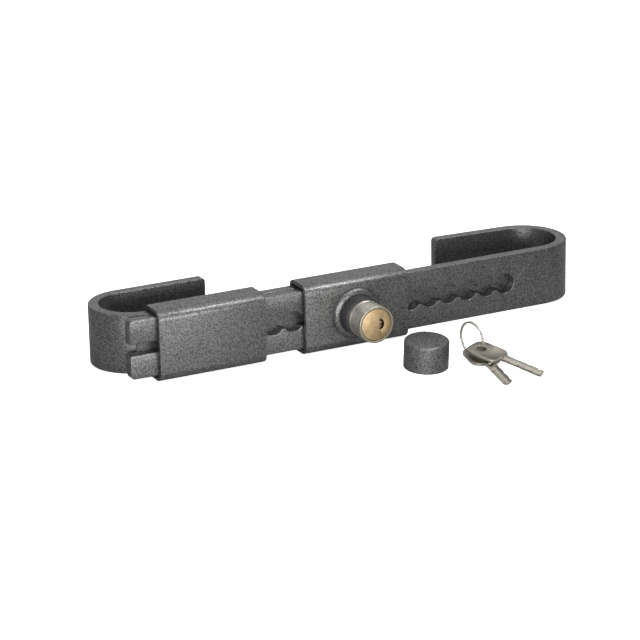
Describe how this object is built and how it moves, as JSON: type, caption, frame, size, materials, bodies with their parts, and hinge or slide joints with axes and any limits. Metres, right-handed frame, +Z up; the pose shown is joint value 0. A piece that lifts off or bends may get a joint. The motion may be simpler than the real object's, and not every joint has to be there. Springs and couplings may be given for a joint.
{
  "type": "adjustable door lock bar",
  "caption": "Adjustable lock bar: two flat-bar hooks slide in rectangular sleeves and are pinned by a push-in key lock in a row of holes; dust cap and keys lie in front.",
  "frame": {"origin": "centre of the bounding box's base, on the floor the part rests on", "axes": "+X along the sliding bar from the left hook to the right hook, +Y from the lock's face to the hooks' return legs, +Z up from the floor"},
  "size_m": [0.4396, 0.2108, 0.061],
  "materials": {
    "paint": "dark grey hammertone, satin",
    "black_oxide": "blackened steel, satin",
    "chrome": "satin chrome plate",
    "brass": "lacquered, turned face",
    "zinc_steel": "zinc plated",
    "nickel": "polished nickel plate"
  },
  "bodies": {
    "frame": {"left_hook_bar": "paint", "left_sleeve": "paint", "lock_sleeve": "paint", "left_sleeve_weld_left": "paint", "left_sleeve_weld_right": "paint", "lock_sleeve_weld_left": "paint", "lock_sleeve_weld_right": "paint", "lock_collar": "black_oxide", "collar_weld_ring": "paint", "spring_seat_washer": "zinc_steel", "guide_screw": "zinc_steel", "bolt_spring": "zinc_steel"},
    "sliding_hook": {"right_hook_bar": "paint", "slot_backing_strip": "paint"},
    "lock_cylinder": {"cylinder_shell": "chrome", "locking_bolt": "zinc_steel", "plug_circlip": "zinc_steel"},
    "key_plug": {"key_plug": "brass", "detainer_disc_1": "brass", "detainer_disc_2": "brass", "detainer_disc_3": "brass", "detainer_disc_4": "brass", "detainer_disc_5": "brass", "sidebar": "zinc_steel", "plug_cam": "zinc_steel"},
    "latch": {"latch_dog": "zinc_steel"},
    "dust_cap": {"dust_cap": "paint"},
    "key_ring": {"key_ring": "nickel"},
    "key_upper": {"key_upper": "nickel"},
    "key_lower": {"key_lower": "nickel"}
  },
  "joints": [
    {"name": "hook_slide", "type": "slide", "parent": "frame", "child": "sliding_hook", "axis": [1, 0, 0], "range_m": [-0.1468, 0.09175]},
    {"name": "lock_push", "type": "slide", "parent": "frame", "child": "lock_cylinder", "axis": [0, 0.997, -0.0773], "range_m": [0, 0.013], "stiffness_N_per_m": 400, "springref_m": -0.005, "deforming": ["bolt_spring"]},
    {"name": "plug_turn", "type": "hinge", "parent": "lock_cylinder", "child": "key_plug", "pos_m": [-0.005, 0.02108, 0.03127], "axis": [0, 0.997, -0.0773], "range_deg": [0, 90]},
    {"name": "latch_draw", "type": "slide", "parent": "lock_cylinder", "child": "latch", "axis": [0, 0.0773, 0.997], "range_m": [-0.0016, 0]},
    {"name": "dust_cap_lift", "type": "slide", "parent": "frame", "child": "dust_cap", "axis": [0, 0, 1], "range_m": [0, 0.06]},
    {"name": "key_ring_lift", "type": "slide", "parent": "frame", "child": "key_ring", "axis": [0, 0, 1], "range_m": [0, 0.06]},
    {"name": "key_upper_swing", "type": "hinge", "parent": "key_ring", "child": "key_upper", "pos_m": [0.07801, -0.05062, 0.0092], "axis": [0.0563, -0.1077, 0.9926], "range_deg": [0, 20]},
    {"name": "key_lower_swing", "type": "hinge", "parent": "key_ring", "child": "key_lower", "pos_m": [0.07733, -0.04714, 0.0044], "axis": [-0.0045, -0.0385, 0.9992], "range_deg": [-15, 0]}
  ],
  "couplings": [
    {"joint": "latch_draw", "follows": "plug_turn", "m_per_rad": -0.00095493}
  ]
}
